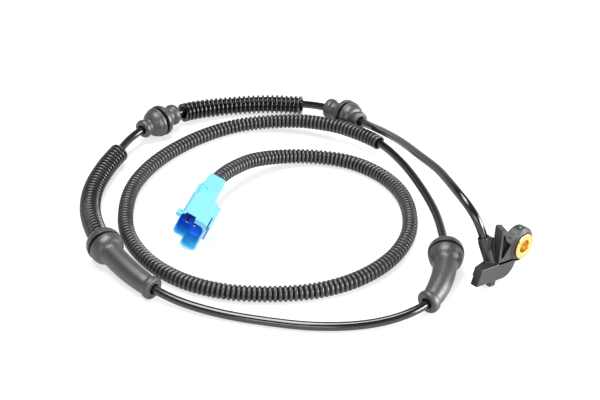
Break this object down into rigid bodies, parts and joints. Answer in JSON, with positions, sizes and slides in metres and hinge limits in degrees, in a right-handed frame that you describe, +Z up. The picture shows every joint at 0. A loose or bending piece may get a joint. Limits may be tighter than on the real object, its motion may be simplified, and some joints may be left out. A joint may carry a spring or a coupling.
{
  "type": "wheel speed sensor",
  "caption": "Moulded sensor head with a brass mounting bush, a two-core lead with rubber grommets, sleeved boots and corrugated conduits, and a sealed plug-in connector.",
  "frame": {"origin": "middle of the sensor head's footprint, at the height of the surface that it rests on", "axes": "+Z up, Y along the axis of the head's mounting bush; the bush's mounting face and the sensing foot look along -Y"},
  "size_m": [0.2513, 0.3018, 0.0526],
  "materials": {
    "head_plastic": "moulded, slightly glossy dark grey",
    "brass": "turned",
    "carrier_plastic": "moulded",
    "chip": "moulded epoxy",
    "tinned_metal": "tinned",
    "core_black": "extruded",
    "core_white": "extruded",
    "cable_jacket": "extruded, glossy",
    "grommet_rubber": "moulded, matte",
    "conduit_wide": "corrugated, glossy",
    "conduit_narrow": "corrugated, satin",
    "connector_blue": "moulded, satin light blue",
    "silicone": "moulded silicone"
  },
  "bodies": {
    "root": {"head_body": "head_plastic", "bush": "brass", "chip_carrier": "carrier_plastic", "hall_chip": "chip", "contact_a": "tinned_metal", "contact_b": "tinned_metal", "head_core_a": "core_black", "head_core_b": "core_white", "cable": "cable_jacket", "grommet_a": "grommet_rubber", "grommet_b": "grommet_rubber", "boot_1": "grommet_rubber", "boot_2": "grommet_rubber", "conduit_1": "conduit_wide", "conduit_2": "conduit_wide", "conduit_3": "conduit_narrow", "connector_body": "connector_blue", "connector_backshell": "connector_blue", "pin_a": "tinned_metal", "pin_b": "tinned_metal", "wire_seal_a": "silicone", "wire_seal_b": "silicone", "plug_core_a": "core_black", "plug_core_b": "core_white"}
  },
  "joints": []
}
